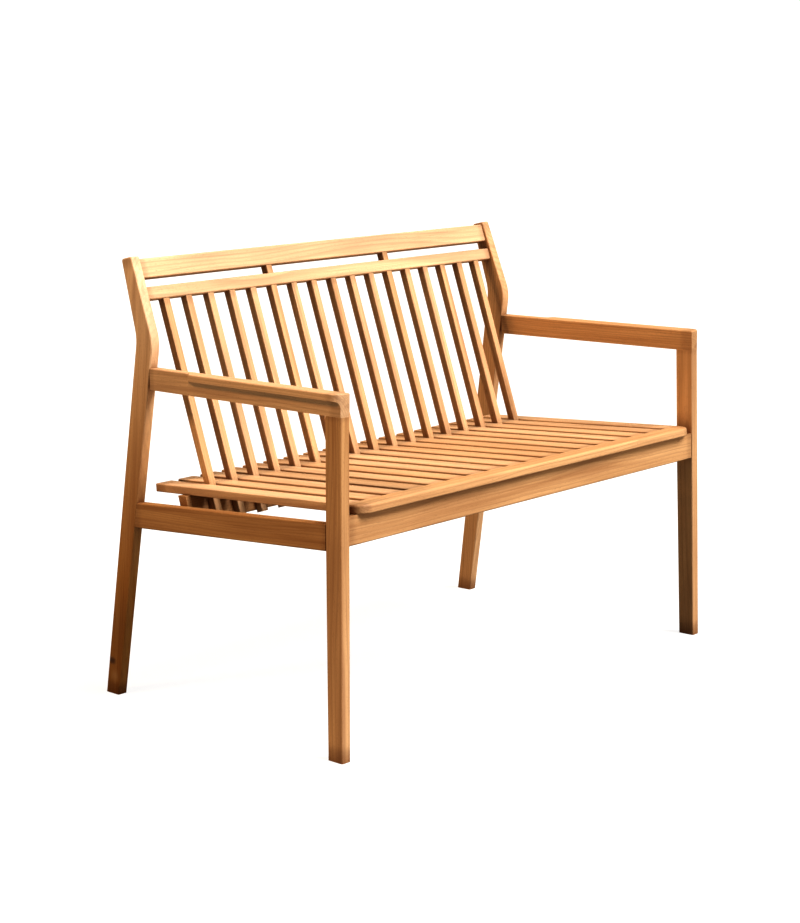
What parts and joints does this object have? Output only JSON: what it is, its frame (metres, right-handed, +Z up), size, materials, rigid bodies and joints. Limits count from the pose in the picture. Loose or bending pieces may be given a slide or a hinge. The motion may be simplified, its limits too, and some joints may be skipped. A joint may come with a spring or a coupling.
{
  "type": "garden bench",
  "caption": "Two-seat slatted garden bench in solid wood with a reclined slatted back, level armrests and splayed side frames.",
  "frame": {"origin": "on the ground under the middle of the bench's bounding box", "axes": "+X along the bench to the right as seen from the front, +Y to the back, +Z up"},
  "size_m": [1.096, 0.6746, 0.8638],
  "materials": {
    "teak": "oiled, open grain",
    "dowel_wood": "raw turned hardwood",
    "stainless": "plain turned stainless steel"
  },
  "bodies": {
    "root": {"front_leg_left": "teak", "front_leg_right": "teak", "back_leg_left": "teak", "back_leg_right": "teak", "armrest_left": "teak", "armrest_right": "teak", "side_rail_left": "teak", "side_rail_right": "teak", "front_rail": "teak", "seat_rail": "teak", "mid_rail": "teak", "top_rail": "teak", "seat_front_board": "teak", "seat_slat_01": "teak", "seat_slat_02": "teak", "seat_slat_03": "teak", "seat_slat_04": "teak", "seat_slat_05": "teak", "seat_slat_06": "teak", "seat_slat_07": "teak", "seat_slat_08": "teak", "seat_slat_09": "teak", "seat_slat_10": "teak", "seat_slat_11": "teak", "seat_slat_12": "teak", "seat_slat_13": "teak", "seat_slat_14": "teak", "seat_slat_15": "teak", "seat_slat_16": "teak", "seat_slat_17": "teak", "seat_slat_18": "teak", "back_slat_01": "teak", "back_slat_02": "teak", "back_slat_03": "teak", "back_slat_04": "teak", "back_slat_05": "teak", "back_slat_06": "teak", "back_slat_07": "teak", "back_slat_08": "teak", "back_slat_09": "teak", "back_slat_10": "teak", "back_slat_11": "teak", "back_slat_12": "teak", "back_slat_13": "teak", "back_slat_14": "teak", "back_slat_15": "teak", "back_slat_16": "teak", "back_slat_17": "teak", "seat_slat_dowels": "dowel_wood", "front_board_dowels": "dowel_wood", "back_slat_screws": "stainless"}
  },
  "joints": []
}
